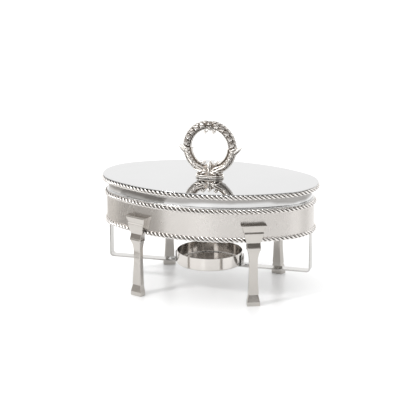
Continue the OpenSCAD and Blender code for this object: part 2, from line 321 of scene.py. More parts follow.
def paintedShadeSkirt(name, light, dark, rough):
    # painted shade: the base colour is bright where the skirt stands upright and painted darker up in the
    # cove under the rope, standing in for the shade and dark reflections there; the line between the two is
    # the height, moved by a broad noise
    finish = Finish(name, Metallic=1.0)
    height = finish.node("ShaderNodeSeparateXYZ", {}, {"Vector": finish.place}, out="Z")
    middleZ = (skirtLow[2] + 6.5) * mm
    softness = 0.009
    drift = finish.noise(11, 3)
    share = finish.ramp((1 / softness) * (height - middleZ) + 2.4 * drift - 0.6, (0.3, 0), (0.8, 1))
    # painted shade: the dark colour is mixed in up in the cove, where share is high
    finish.drive("Base Color", finish.blend(share, light, dark))
    finish.drive("Roughness", rough + 0.05 * share)
    finish.drive("Normal", finish.bump(finish.noise(24, 1), 0.15, 0.002))
    return finish.material


def brushedSteel(name, light, dark, rough, stretch, strength=0.25):
    # fine brushing: noise stretched along one axis sets tone, roughness and a shallow relief
    finish = Finish(name, Metallic=1.0)
    fine = 900
    lines = finish.noise(fine, 2, stretch)
    cloud = finish.noise(14, 3)
    finish.drive("Base Color", finish.blend(lines, dark, light))
    finish.drive("Roughness", rough + 0.08 * lines + 0.05 * cloud)
    finish.drive("Normal", finish.bump(lines, strength, 0.0002))
    return finish.material


def turnedSteel(name, light, dark, rough):
    # drawn and turned: the brushing runs in rings about the upright axis, by distance from it
    finish = Finish(name, Metallic=1.0)
    flat = finish.node("ShaderNodeVectorMath", {"operation": "MULTIPLY"},
                       {0: finish.place, 1: (1, 1, 0)})
    away = finish.node("ShaderNodeVectorMath", {"operation": "LENGTH"}, {0: flat}, out="Value")
    height = finish.node("ShaderNodeSeparateXYZ", {}, {"Vector": finish.place}, out="Z")
    ringsPerMetre = 2600
    spot = finish.node("ShaderNodeCombineXYZ", {}, {"X": away * ringsPerMetre, "Y": height * ringsPerMetre})
    lines = finish.node("ShaderNodeTexNoise", {}, {"Vector": spot, "Scale": 1.0, "Detail": 2})
    cloud = finish.noise(18, 3)
    finish.drive("Base Color", finish.blend(lines, dark, light))
    finish.drive("Roughness", rough + 0.05 * lines + 0.05 * cloud)
    finish.drive("Normal", finish.bump(lines, 0.06, 0.0002))
    return finish.material


mirrorSteel = polishedSheet("mirrorSteel", (0.49, 0.49, 0.49, 1), (0.47, 0.47, 0.47, 1), 0.03, 0.02)
# the skirt's second colour is painted shade for the cove under the rope
skirtSteelPaintedShade = paintedShadeSkirt("skirtSteelPaintedShade", (0.64, 0.64, 0.64, 1), (0.32, 0.31, 0.3, 1), 0.06)
bandSteel = polishedSheet("bandSteel", (0.6, 0.575, 0.55, 1), (0.575, 0.55, 0.525, 1), 0.25, 0.02)
# the second, dark colour of each plating is painted shade, laid into its hollows
ropePlating = platingWithPaintedShade("ropePlating", (0.79, 0.765, 0.74, 1), (0.1, 0.088, 0.075, 1),
                            0.15, 700, 0.2, 0.75)
castPlating = platingWithPaintedShade("castPlating", (0.8, 0.77, 0.735, 1), (0.14, 0.115, 0.095, 1),
                            0.2, 500, 0.35, 0.8)
cradlePlating = platingWithPaintedShade("cradlePlating", (0.88, 0.85, 0.81, 1), (0.32, 0.275, 0.235, 1),
                              0.28, 500, 0.4, 0.9)
legPlating = polishedSheet("legPlating", (0.56, 0.535, 0.505, 1), (0.53, 0.505, 0.475, 1), 0.1, 0.03)
strapSteel = polishedSheet("strapSteel", (0.49, 0.48, 0.465, 1), (0.46, 0.45, 0.435, 1), 0.12, 0.02)
panSteel = brushedSteel("panSteel", (0.72, 0.72, 0.715, 1), (0.62, 0.62, 0.615, 1), 0.2, (0.06, 1, 1))
dishSteel = turnedSteel("dishSteel", (0.72, 0.69, 0.66, 1), (0.64, 0.61, 0.58, 1), 0.06)
fastenerSteel = brushedSteel("fastenerSteel", (0.68, 0.68, 0.675, 1), (0.55, 0.55, 0.545, 1),
                             0.25, (1, 1, 0.1))
print("finishes made")


# ---- rope borders

# out and back are measured from the band's outer face: the rope's middle, and where it is cut flat
ropeStyle = {"strands": 3, "spacing": 7.6, "strandPoints": 10, "stationStep": 1.0,
             "lid": {"out": 4.5, "back": 0.0}, "band": {"out": 0.0, "back": -0.4}}


def twistedRope(name, node, seat):
    # three round strands laid side by side and turned about the rope's own line as it runs round the
    # oval: reach = d cos(a) + sqrt(s^2 - d^2 sin^2(a)), where a is the angle from a strand's middle
    low, high = (np.array(c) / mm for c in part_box(node))
    radius = (high[2] - low[2]) / 2
    centreZ = (high[2] + low[2]) / 2
    strands, each = ropeStyle["strands"], ropeStyle["strandPoints"]
    strandRadius = radius / (1 + 1 / math.sin(math.pi / strands))
    away = radius - strandRadius
    a = np.linspace(-math.pi / strands, math.pi / strands, each + 1)[:-1]
    reach = away * np.cos(a) + np.sqrt(np.maximum(strandRadius ** 2 - (away * np.sin(a)) ** 2, 0))
    around = (np.arange(strands)[:, None] * tau / strands + a).ravel()
    reach = np.tile(reach, strands)
    _, _, _, length = ovalStations(4)
    count = int(length / ropeStyle["stationStep"])
    turns = round(length / (ropeStyle["spacing"] * strands)) + 1 / strands
    twist = np.arange(count)[:, None] / count * tau * round(turns * strands) / strands
    angle = around - twist
    offset = seat["out"] + reach * np.cos(angle)
    rings = ovalRings(np.maximum(offset, seat["back"]), centreZ + reach * np.sin(angle), count)
    points, faces = rings.reshape(-1, 3), [gridFaces(count, len(around), False, True)]
    shift = round(turns * strands) % strands * each  # the last ring meets the first a few strands round
    j = np.arange(len(around))
    start, nextStart = (j - shift) % len(around), (j + 1 - shift) % len(around)
    last = (count - 1) * len(around)
    faces.append(np.stack([last + j, start, nextStart, last + (j + 1) % len(around)], -1))
    # painted shade: how deep each point lies between the strands, which darkens the base colour there
    hollow = np.tile((radius - reach) / (radius - reach.min()), count)
    return makeMesh(name, points, faces, frame["nodes"][node]["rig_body"], [node], ropePlating,
                    {"hollow": hollow})


twistedRope("lidRopeBorder", "lid_rope", ropeStyle["lid"])
twistedRope("upperRopeBorder", "upper_rope", ropeStyle["band"])
twistedRope("lowerRopeBorder", "lower_rope", ropeStyle["band"])
print("rope borders made")


# ---- band, skirt and pans

def roundOval(name, corners, radius, node, material, count=400):
    # a closed (offset, height) outline with softened corners, carried round the oval
    outline = softOutline(corners, radius)
    points, faces = loop(ovalRings(outline[:, 0], outline[:, 1], count))
    return makeMesh(name, points, faces, frame["nodes"][node]["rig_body"], [node], material)


bandStyle = {"sheet": 1.5, "edge": 0.4}
bandOutline = [[-bandStyle["sheet"], bandLow[2]], [0, bandLow[2]], [0, bandHigh[2]],
               [-bandStyle["sheet"], bandHigh[2]]]
roundOval("bandShell", bandOutline, bandStyle["edge"], "body_band", bandSteel)

lidRopeLow, lidRopeHigh = (np.array(c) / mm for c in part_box("lid_rope"))
skirtStyle = {"foot": -3.0, "rim": 0.6, "sheet": 1.0, "seat": 9.0, "upright": 1.0, "underRope": 3.0,
              "edge": 0.3}


def cove(turn, back):
    # a quarter turn from upright at the foot to level under the rope, moved back by the sheet
    out = skirtStyle["rim"] - skirtStyle["foot"]
    up = (lidRopeLow[2] + lidRopeHigh[2]) / 2 - skirtStyle["underRope"]
    low = skirtLow[2] + skirtStyle["upright"]
    return np.stack([skirtStyle["foot"] - back * np.cos(turn) + out * (1 - np.cos(turn)),
                     low + (up - low + back) * np.sin(turn)], -1)


quarter = np.linspace(0, math.pi / 2, 13)
skirtFoot, skirtRim, skirtSheet = skirtStyle["foot"], skirtStyle["rim"], skirtStyle["sheet"]
skirtOutline = [[skirtFoot - skirtSheet, skirtLow[2]], [skirtFoot, skirtLow[2]], *cove(quarter, 0).tolist(),
                [skirtRim, skirtHigh[2]], [skirtRim - skirtStyle["seat"], skirtHigh[2]],
                [skirtRim - skirtStyle["seat"], skirtHigh[2] - skirtSheet],
                [skirtRim - skirtSheet, skirtHigh[2] - skirtSheet],
                *cove(quarter[:-1][::-1], skirtSheet).tolist()]
roundOval("lidSkirtShell", skirtOutline, skirtStyle["edge"], "lid_skirt", skirtSteelPaintedShade)


# wall and rim are the outer faces of each pan's wall and rim, out from the band's outer face
panStyle = {"sheet": 1.0, "bend": 5.0, "flat": 60.0, "food": {"wall": -12, "rim": -0.8},
            "water": {"wall": -6, "rim": -0.4}}


def panShell(name, node, size, material):
    # flat rim, upright wall, rounded bottom corner and a flat bottom that closes at the middle;
    # each point is (share of the way out, offset from the band, height)
    low, high = (np.array(c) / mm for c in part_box(node))
    sheet, bend, wall, rim = panStyle["sheet"], panStyle["bend"], size["wall"], size["rim"]
    inside = wall - panStyle["flat"]
    outer = softOutline([[inside, low[2]], [wall, low[2]], [wall, high[2] - sheet], [rim, high[2] - sheet],
                         [rim, high[2]], [wall - sheet, high[2]], [wall - sheet, low[2] + sheet],
                         [inside, low[2] + sheet]],
                        [1, bend, 0.6, 0.3, 0.3, 1.2, bend - sheet, 1], closed=False)
    share = np.ones(len(outer))
    profile = np.column_stack([share, outer])
    middle = [[0.0, inside, low[2]], [0.5, inside, low[2]]]
    back = [[0.5, inside, low[2] + sheet], [0.0, inside, low[2] + sheet]]
    points, faces = ovalSheet(np.concatenate([middle, profile, back]))
    return makeMesh(name, points, faces, frame["nodes"][node]["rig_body"], [node], material)


panShell("foodPanShell", "food_pan", panStyle["food"], panSteel)
panShell("waterPanShell", "water_pan", panStyle["water"], panSteel)
print("band, skirt and pans made")

# ---- lid top

plateLow, plateHigh = (np.array(c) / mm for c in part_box("lid_plate"))
topStyle = {"roll": 0.5, "underRoll": 0.3, "inset": -30, "rings": 7, "around": 480}
plateOut = plateHigh[1] - bandHigh[1]
lidEdge = softOutline([[topStyle["inset"], plateHigh[2]], [plateOut, plateHigh[2]], [plateOut, plateLow[2]],
                       [topStyle["inset"], plateLow[2]]],
                      [1, topStyle["roll"], topStyle["underRoll"], 1], closed=False)
shares = np.linspace(0, 1, topStyle["rings"] + 1)[:-1]
inset = np.full(topStyle["rings"], topStyle["inset"])
topRun = np.column_stack([shares, inset, plateHigh[2] + 0 * shares])
edgeRun = np.column_stack([np.ones(len(lidEdge)), lidEdge])
underRun = np.column_stack([shares[::-1], inset, plateLow[2] + 0 * shares])
points, faces = ovalSheet(np.concatenate([topRun, edgeRun, underRun]), topStyle["around"])
makeMesh("lidTopSheet", points, faces, "lid", ["lid_plate"], mirrorSteel)
print("lid top made")


# ---- legs and capitals

legLow, legHigh = (np.array(c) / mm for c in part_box("leg_front_left"))
bracketLow, bracketHigh = (np.array(c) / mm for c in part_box("leg_bracket_front_left"))
legTop, capitalTop = legHigh[2], bracketHigh[2]
legStyle = {"turn": 67.0, "out": 0.0, "back": -1.6, "edge": 0.9, "foot": 10.6, "footBand": 6.5,
            "ankle": 8.1, "ankleZ": 18.5, "calf": 8.6, "waist": 6.9, "waistZ": 70.0, "collar": 11.1,
            "collarBand": 3.0, "soften": 0.5}


def legPlace(points, back, right):
    # (out of the band, across, up) into the object's frame, at one of the four leg places
    turn = math.radians(legStyle["turn"] if back == right else 180 - legStyle["turn"])
    c, s = math.cos(turn), math.sin(turn)
    out, across = points[..., 0] + sideRadius, points[..., 1]
    x, y = out * c - across * s, out * s + across * c - 4 * centreUnit
    sign = 1 if back else -1
    return np.stack([x * sign, y * sign, points[..., 2]], -1)


def softSquare(back, front, across, edge):
    # a rectangle for each station with rounded corners, as (stations, points, 2): each corner is
    # pulled in by the edge radius and an arc of that radius is put round it
    signs = np.array([[1, 1], [-1, 1], [-1, -1], [1, -1]], float)
    steps = np.linspace(0, math.pi / 2, 5)
    turn = np.arange(4)[:, None] * math.pi / 2 + steps
    arc = np.stack([np.cos(turn), np.sin(turn)], -1)
    before, after = arc[:, :1].copy(), arc[:, -1:].copy()
    before[:, 0] += np.array([[0, -0.5], [0.5, 0], [0, 0.5], [-0.5, 0]])
    after[:, 0] += np.array([[-0.5, 0], [0, -0.5], [0.5, 0], [0, 0.5]])
    arc = np.concatenate([before, arc, after], 1)
    half = np.stack([(front - back) / 2, across], -1) - edge
    middle = np.stack([(front + back) / 2, 0 * across], -1)
    corners = middle[:, None, None] + signs[None, :, None] * half[:, None, None] + arc * edge
    return corners.reshape(len(back), -1, 2)


def squareColumn(heights, back, front, across, edge):
    flat = softSquare(back, front, across, edge)
    return np.concatenate([flat, np.broadcast_to(heights[:, None, None], (*flat.shape[:2], 1))], -1)


def legProfile():
    # half-width and height: an upright foot, a straight slope, then a calf that narrows as (1 - t)^2
    # to the waist and widens as t^3 to the collar
    k = legStyle
    t = np.linspace(0, 1, 13)
    calfZ, thigh = k["ankleZ"] + 1, legTop - k["collarBand"] - k["waistZ"]
    calf = np.column_stack([k["waist"] + (k["calf"] - k["waist"]) * (1 - t) ** 2,
                            calfZ + (k["waistZ"] - calfZ) * t])
    upper = np.column_stack([k["waist"] + (k["collar"] - k["waist"]) * t[2:] ** 3,
                             k["waistZ"] + thigh * t[2:]])
    foot = [[k["foot"] - 3, 0], [k["foot"], 0], [k["foot"], k["footBand"]], [k["ankle"], k["ankleZ"]]]
    return np.concatenate([foot, calf, upper, [[k["collar"], legTop], [k["collar"] - 3, legTop]]])


# half-width, front, back and height of the capital, from its neck up: a sloping neck with room
# behind it for the rope, then two tiers with a ledge between them
capitalStyle = {"edge": 0.6, "soften": 0.45}
capitalCurve = np.array([
    [8.0, 7.6, 1.4, legTop], [11.1, 10.6, -1.6, legTop], [10.93, 8.4, -1.6, 104.4],
    [10.93, 8.36, 4.8, 104.5], [10.9, 8.0, 4.8, 105.6], [11.8, 7.6, 4.8, 105.65],
    [13.94, 8.87, 4.8, 113.5], [13.96, 8.89, -1.2, 113.6], [16.2, 10.2, -1.2, 121.7],
    [16.2, 8.2, -1.2, 124], [19.4, 11.0, -1.2, 133], [21.0, 11.0, -1.2, capitalTop],
    [17.0, 7.0, 2.8, capitalTop]])
for back in (False, True):
    for right in (False, True):
        side = ("back" if back else "front") + "_" + ("right" if right else "left")
        tag = ("Back" if back else "Front") + ("Right" if right else "Left")
        half, z = softOutline(legProfile(), legStyle["soften"], 3, closed=False).T
        rings = squareColumn(z, legStyle["back"] + 0 * half, legStyle["out"] + half, half, legStyle["edge"])
        points, faces = tube(legPlace(rings, back, right))
        makeMesh("leg" + tag, points, faces, "frame", ["leg_" + side], legPlating)
        across, front, rear, z = softOutline(capitalCurve, capitalStyle["soften"], 3, closed=False).T
        rings = squareColumn(z, rear, front, across, capitalStyle["edge"])
        points, faces = tube(legPlace(rings, back, right))
        makeMesh("capital" + tag, points, faces, "frame", ["leg_bracket_" + side], legPlating)
print("legs made")

# ---- burner dish, strap and lugs

dishLow, dishHigh = (np.array(c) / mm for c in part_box("burner_dish"))
dishStyle = {"wall": 1.2, "bend": 2.5, "innerBend": 1.8, "lip": 0.55, "around": 160}
dishRadius = dishHigh[0]
dishInside, dishFloor = dishRadius - dishStyle["wall"], dishLow[2] + dishStyle["wall"]
dishCurve = softOutline([[0, dishLow[2]], [dishRadius, dishLow[2]], [dishRadius, dishHigh[2]],
                         [dishInside, dishHigh[2]], [dishInside, dishFloor], [0, dishFloor]],
                        [1, dishStyle["bend"], dishStyle["lip"], dishStyle["lip"], dishStyle["innerBend"], 1],
                        closed=False)
turn = np.arange(dishStyle["around"]) / dishStyle["around"] * tau
rings = np.stack([dishCurve[:, 0, None] * np.cos(turn), dishCurve[:, 0, None] * np.sin(turn),
                  dishCurve[:, 1, None] + 0 * turn], -1)
points, faces = tube(rings)
makeMesh("burnerDish", points, faces, "burner_dish", ["burner_dish"], dishSteel)


def barSweep(path, half, thick, edge=0.5):
    # a flat bar with rounded edges along a path in the X-Z plane: width runs along Y
    run = np.gradient(path, axis=0)
    run /= np.linalg.norm(run, axis=1)[:, None]
    side = np.stack([run[:, 1], -run[:, 0]], -1)
    count = len(path)
    flat = softSquare(np.full(count, -thick / 2), np.full(count, thick / 2), np.full(count, half), edge)
    x = path[:, None, 0] + flat[..., 0] * side[:, None, 0]
    z = path[:, None, 1] + flat[..., 0] * side[:, None, 1]
    return np.stack([x, flat[..., 1], z], -1)


strapLow, strapHigh = (np.array(c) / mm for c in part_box("burner_strap"))
strapStyle = {"sheet": 2.0, "bend": 5.0, "topBend": 0.8, "flange": 19.0}
halfSheet = strapStyle["sheet"] / 2
reach, drop, rise = strapHigh[0] - halfSheet, strapLow[2] + halfSheet, strapHigh[2] - halfSheet
tab = reach - strapStyle["flange"]
strapPath = softOutline([[tab, rise], [reach, rise], [reach, drop], [-reach, drop], [-reach, rise],
                         [-tab, rise]],
                        [1, strapStyle["topBend"], strapStyle["bend"], strapStyle["bend"],
                         strapStyle["topBend"], 1], 10, closed=False)
points, faces = tube(barSweep(strapPath, strapHigh[1], strapStyle["sheet"]))
makeMesh("burnerStrap", points, faces, "frame", ["burner_strap"], strapSteel)

lugLow, lugHigh = (np.array(c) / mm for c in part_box("dish_lugs"))
lugStyle = {"sheet": 1.4, "gap": 0.6, "bend": 1.6}
lugMiddle = lugStyle["sheet"] / 2
lugX = dishRadius + lugStyle["gap"] + lugMiddle
shapes = []
for sign in (-1, 1):
    lugPath = softOutline([[sign * lugX, lugHigh[2]], [sign * lugX, lugLow[2] + lugMiddle],
                           [sign * lugHigh[0], lugLow[2] + lugMiddle]],
                          [1, lugStyle["bend"], 1], 6, closed=False)
    shapes.append(tube(barSweep(lugPath, lugHigh[1], lugStyle["sheet"])))
points, faces = joinShapes(shapes)
makeMesh("dishLugs", points, faces, "frame", ["dish_lugs"], strapSteel)
print("burner parts made")


# ---- ring handle

ringLow, ringHigh = (np.array(c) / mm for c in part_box("handle_ring"))
baseLow, baseHigh = (np.array(c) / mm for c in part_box("handle_base"))
ringBar = ringHigh[1]
ringRadius = ringHigh[0] - ringBar
ringZ = ringLow[2]
# turns about the bar: away from the ring's middle, and square to it
outwardSide, faceSide = 0.0, math.pi / 2
leafGrid = {"stations": 9, "points": 12, "pointed": 0.6}
wreathStyle = {
    "core": 5.3, "liner": 32.3, "linerBar": 1.45,
    "big": {"first": 0.2, "step": 0.27, "count": 5, "length": 10.4, "width": 7.4, "thick": 2.5, "lift": 0.3},
    "outer": {"first": 0.1, "step": 0.162, "count": 9, "length": 8.0, "width": 5.2, "thick": 1.5,
              "lift": 1.6},
    "inner": {"first": 0.1, "step": 0.14, "count": 11, "length": 5.6, "width": 4.2, "thick": 1.3,
              "lift": 0.6}}


def ringPoints(turn, around, reach):
    # turn runs along the ring from +X over the top, around runs about its bar, and reach is the
    # distance from the bar's middle line
    radial = ringRadius + reach * np.cos(around)
    return np.stack([radial * np.cos(turn), reach * np.sin(around), ringZ + radial * np.sin(turn)], -1)


def leavesOnRing(turns, arounds, headings, style, core):
    # scale leaves, all at once. In a leaf's own plane u runs from base to tip, a = length (u - 1/2) and
    # c = width / 2 (1 - (2u - 1)^2)^pointed cos(angle). It stands thick sin(angle) + lift u^2 above the
    # core, less a groove along its vein. The plane is turned by the heading and wrapped on the bar
    turns, arounds, headings = (np.asarray(v, float)[:, None, None] for v in (turns, arounds, headings))
    u = ((1 - np.cos(np.linspace(0.04, 1, leafGrid["stations"]) * math.pi)) / 2)[:, None]
    angle = (np.arange(leafGrid["points"]) / leafGrid["points"] * tau)[None, :]
    plan = np.maximum(1 - (2 * u - 1) ** 2, 0) ** leafGrid["pointed"]
    along = style["length"] * (u - 0.5) + 0 * angle
    across = style["width"] / 2 * plan * np.cos(angle)
    vein = 0.45 * np.exp(-(np.cos(angle) / 0.25) ** 2) * (np.sin(angle) > 0)
    height = core + style["thick"] * np.sqrt(plan) * (np.sin(angle) - vein) + style["lift"] * u ** 2
    turned = along * np.cos(headings) - across * np.sin(headings)
    sideways = along * np.sin(headings) + across * np.cos(headings)
    points, faces = manyTubes(ringPoints(turns + turned / ringRadius, arounds + sideways / core, height))
    # painted shade: leaves are painted darker on their undersides, along the vein and towards the base, where
    # the next leaf overlaps them
    top = np.clip(np.sin(angle) - 0.6 * vein / 0.45 * (1 - 0.5 * u), 0, 1) * (0.45 + 0.55 * u)
    hollow = np.concatenate([(1 - top).ravel(), [1, 0.4]])
    return points, faces, np.tile(hollow, len(turns))


def leafRow(style, around, splay, start=0.0, sense=1, core=None):
    # one row of leaves on each half of the ring and on both faces; the tips point down to the spurs,
    # and splay turns them away from the row's line
    k = np.arange(style["count"])
    turn = start + sense * (style["first"] + style["step"] * k)
    turns = np.concatenate([turn, turn, math.pi - turn, math.pi - turn])
    ones = np.ones(len(k))
    arounds = np.concatenate([around * ones, -around * ones] * 2)
    down = math.pi if sense > 0 else 0.0
    headings = np.concatenate([(down + splay) * ones, (down - splay) * ones,
                               (math.pi + down - splay) * ones, (math.pi + down + splay) * ones])
    return leavesOnRing(turns, arounds, headings, style, core or wreathStyle["core"])


def sweep(path, width, depth, ribs=0, rib=0.0, around=18, shade=0.25):
    # a round or ribbed bar along a path of (x, y, z): width across it in the X-Z plane, depth along Y,
    # and lengthwise ribs cut in as 1 - rib (0.5 - 0.5 cos(2 ribs angle))
    path = np.array(path, float)
    run = np.gradient(path[:, [0, 2]], axis=0)
    run /= np.maximum(np.linalg.norm(run, axis=1), 1e-9)[:, None]
    angle = np.arange(around) / around * tau
    cut = 0.5 - 0.5 * np.cos(ribs * 2 * angle)
    reach = 1 - rib * cut
    across = np.asarray(width)[..., None] * np.cos(angle) * reach * np.ones((len(path), 1))
    through = np.asarray(depth)[..., None] * np.sin(angle) * reach * np.ones((len(path), 1))
    rings = np.stack([path[:, None, 0] + across * run[:, None, 1],
                      path[:, None, 1] + through,
                      path[:, None, 2] - across * run[:, None, 0]], -1)
    points, faces = tube(rings)
    # painted shade: the bar is painted darker in its ribs' grooves and along its two edges across the width
    edge = np.abs(np.cos(angle)) ** 6
    hollow = np.concatenate([np.tile(np.clip(cut * rib * 3.5 + shade * edge, 0, 1), len(path)), [0.3, 0.3]])
    return points, faces, hollow


def curve(*knots, count=22):
    # a smooth curve pulled by a few knots (x, y, z), with Bernstein's weights
    p = np.array(knots, float)
    n = len(p) - 1
    t = np.linspace(0, 1, count)[:, None]
    weights = np.stack([math.comb(n, k) * t ** k * (1 - t) ** (n - k) for k in range(n + 1)], 1)
    return (weights * p[None]).sum(1) + [0, 0, ringZ]


def taper(start, middle, end, count=22):
    t = np.linspace(0, 1, count)
    return start * (1 - t) ** 2 + 2 * middle * t * (1 - t) + end * t ** 2


def ringArc(radius, fromTurn, toTurn, y=0.0, count=60):
    turn = np.linspace(fromTurn, toTurn, count)
    return np.stack([radius * np.cos(turn), y + 0 * turn, ringZ + radius * np.sin(turn)], -1)


def scroll(centreX, centreZ, y, radius, turns, start, sense, count=30):
    # the radius shrinks evenly to a quarter as it turns
    t = np.linspace(0, 1, count)
    angle = start + sense * turns * tau * t
    reach = radius * (1 - 0.75 * t)
    return np.stack([centreX + reach * np.cos(angle), y + 0 * t, ringZ + centreZ + reach * np.sin(angle)], -1)


def gather(name, parts, node, material):
    points, faces = joinShapes([(p, f) for p, f, _ in parts])
    # the hollow attribute carries each part's painted shade
    hollow = np.concatenate([h for _, _, h in parts])
    makeMesh(name, points, faces, "lid", node, material, {"hollow": hollow})


def wreath():
    k = wreathStyle
    core = sweep(ringArc(ringRadius, 0, math.pi, count=120), k["core"], k["core"], shade=0)
    # painted shade: the core under the leaves is painted in the full dark colour
    parts = [(core[0], core[1], np.ones(len(core[0])))]
    parts.append(leafRow(k["inner"], faceSide + 0.62, 0.35))
    parts.append(leafRow(k["outer"], outwardSide + 0.5, 0.5))
    parts.append(leafRow(k["big"], faceSide - 0.12, 0.12))
    parts.append(sweep(ringArc(k["liner"], -0.05, math.pi + 0.05, count=100), k["linerBar"], 2.6, shade=0.1))
    for y in (-4.2, 4.2):
        for s in (-1, 1):
            # two curls under the top, each on a short stalk from the middle
            stalk = curve([s * 0.6, y, 33.5], [s * 0.4, y, 29.5], [s * 4.4, y, 31.0], [s * 7.2, y, 28.6])
            parts.append(sweep(stalk, taper(1.0, 1.5, 1.2), taper(1.2, 1.6, 1.2), 1, 0.1))
            parts.append(sweep(scroll(s * 6.6, 26.6, y, 2.2, 0.9, math.pi / 2 - s * 0.5, -s), 1.25, 1.5))
        # a knot where the two halves meet
        knot = curve([-4.6, y * 1.25, 39.5], [0, y * 1.5, 41.5], [4.6, y * 1.25, 39.5])
        parts.append(sweep(knot, taper(0.4, 5.6, 0.4), taper(0.4, 3.4, 0.4), 2, 0.25))
        parts.append(sweep(curve([0, y, 36.5], [0, y * 1.25, 33.5], [0, y, 29.6]), taper(0.4, 3.6, 0.3),
                           taper(0.4, 2.4, 0.3), 1, 0.15))
    gather("handleWreath", parts, ["handle_ring"], castPlating)


cradleStyle = {
    "arm": 38.0, "armHalf": 5.6, "armDepth": 4.6, "outerRim": 44.4, "innerRim": 30.9, "rimBar": 1.55,
    "leaf": {"first": 0.2, "step": 0.172, "count": 6, "length": 9.0, "width": 6.6, "thick": 1.5, "lift": 1.0},
    "tipLeaf": {"first": 0.12, "step": 0.172, "count": 6, "length": 7.0, "width": 4.6, "thick": 1.2,
                "lift": 0.8}}


def arms():
    k = cradleStyle
    parts = []
    for s in (-1, 1):
        low, high = math.radians(-80), math.radians(-1)
        arc = ringArc(k["arm"], low, high) * [s, 1, 1]
        core = sweep(arc, k["armHalf"], k["armDepth"], shade=0)
        # painted shade: the arm's core under the leaves is painted mostly dark
        parts.append((core[0], core[1], np.full(len(core[0]), 0.85)))
        # outer rim, which leaves the ring at the top as the spur's edge
        rim = ringArc(k["outerRim"], math.radians(-66), math.radians(-9), count=36)
        tip = curve([43.9, 0, -7], [46.2, 0, -2.5], [50.5, 0, 0.6], [55.6, 0, 3.0])
        path = np.concatenate([rim, tip[2:]]) * [s, 1, 1]
        width = np.concatenate([np.full(len(rim), k["rimBar"]), taper(k["rimBar"], 1.7, 0.15)[2:]])
        parts.append(sweep(path, width, width * 2.2, 1, 0.08))
        # the spur's leaf, between that edge and the wreath
        for y in (-2.6, 2.6):
            leaf = curve([42.0, y, -5.5], [46.0, y, -3.5], [50.0, y, -0.5], [55.2, y * 0.4, 2.7]) * [s, 1, 1]
            parts.append(sweep(leaf, taper(5.4, 3.8, 0.2), taper(2.4, 2.2, 0.2), 2, 0.16))
            collar = curve([36.2, y * 1.8, -3.4], [40.2, y * 2.4, -0.4], [45.2, y * 1.8, 1.2]) * [s, 1, 1]
            parts.append(sweep(collar, taper(0.8, 2.4, 1.2), taper(1.0, 2.2, 1.0), 1, 0.1))
        # inner rim, from the scroll up to the inner spur
        rim = ringArc(k["innerRim"], math.radians(-69), math.radians(-8), count=36)
        tip = curve([30.6, 0, -4.5], [31.2, 0, -2.0], [29.6, 0, -1.5], [26.9, 0, -1.2])
        path = np.concatenate([rim, tip[2:]]) * [s, 1, 1]
        width = np.concatenate([np.full(len(rim), k["rimBar"]), taper(k["rimBar"], 1.8, 0.15)[2:]])
        parts.append(sweep(path, width, width * 2.0, 1, 0.08))
        for y in (-3.6, 3.6):
            curl = scroll(s * 10.6, -26.0, y, 2.9, 1.2, -math.pi / 2 + s * 0.5, s)
            parts.append(sweep(curl, 1.45, 2.0))
            parts.append(sweep(curve([s * 8.6, y, -26], [s * 10.6, y * 1.3, -26], [s * 12.6, y, -26]),
                               taper(0.5, 2.4, 0.5), taper(0.5, 2.6, 0.5)))
    parts.append(leafRow(k["leaf"], faceSide - 0.3, 0.3, 0.0, -1, 4.8))
    parts.append(leafRow(k["tipLeaf"], faceSide + 0.45, 0.4, 0.0, -1, 4.6))
    return parts


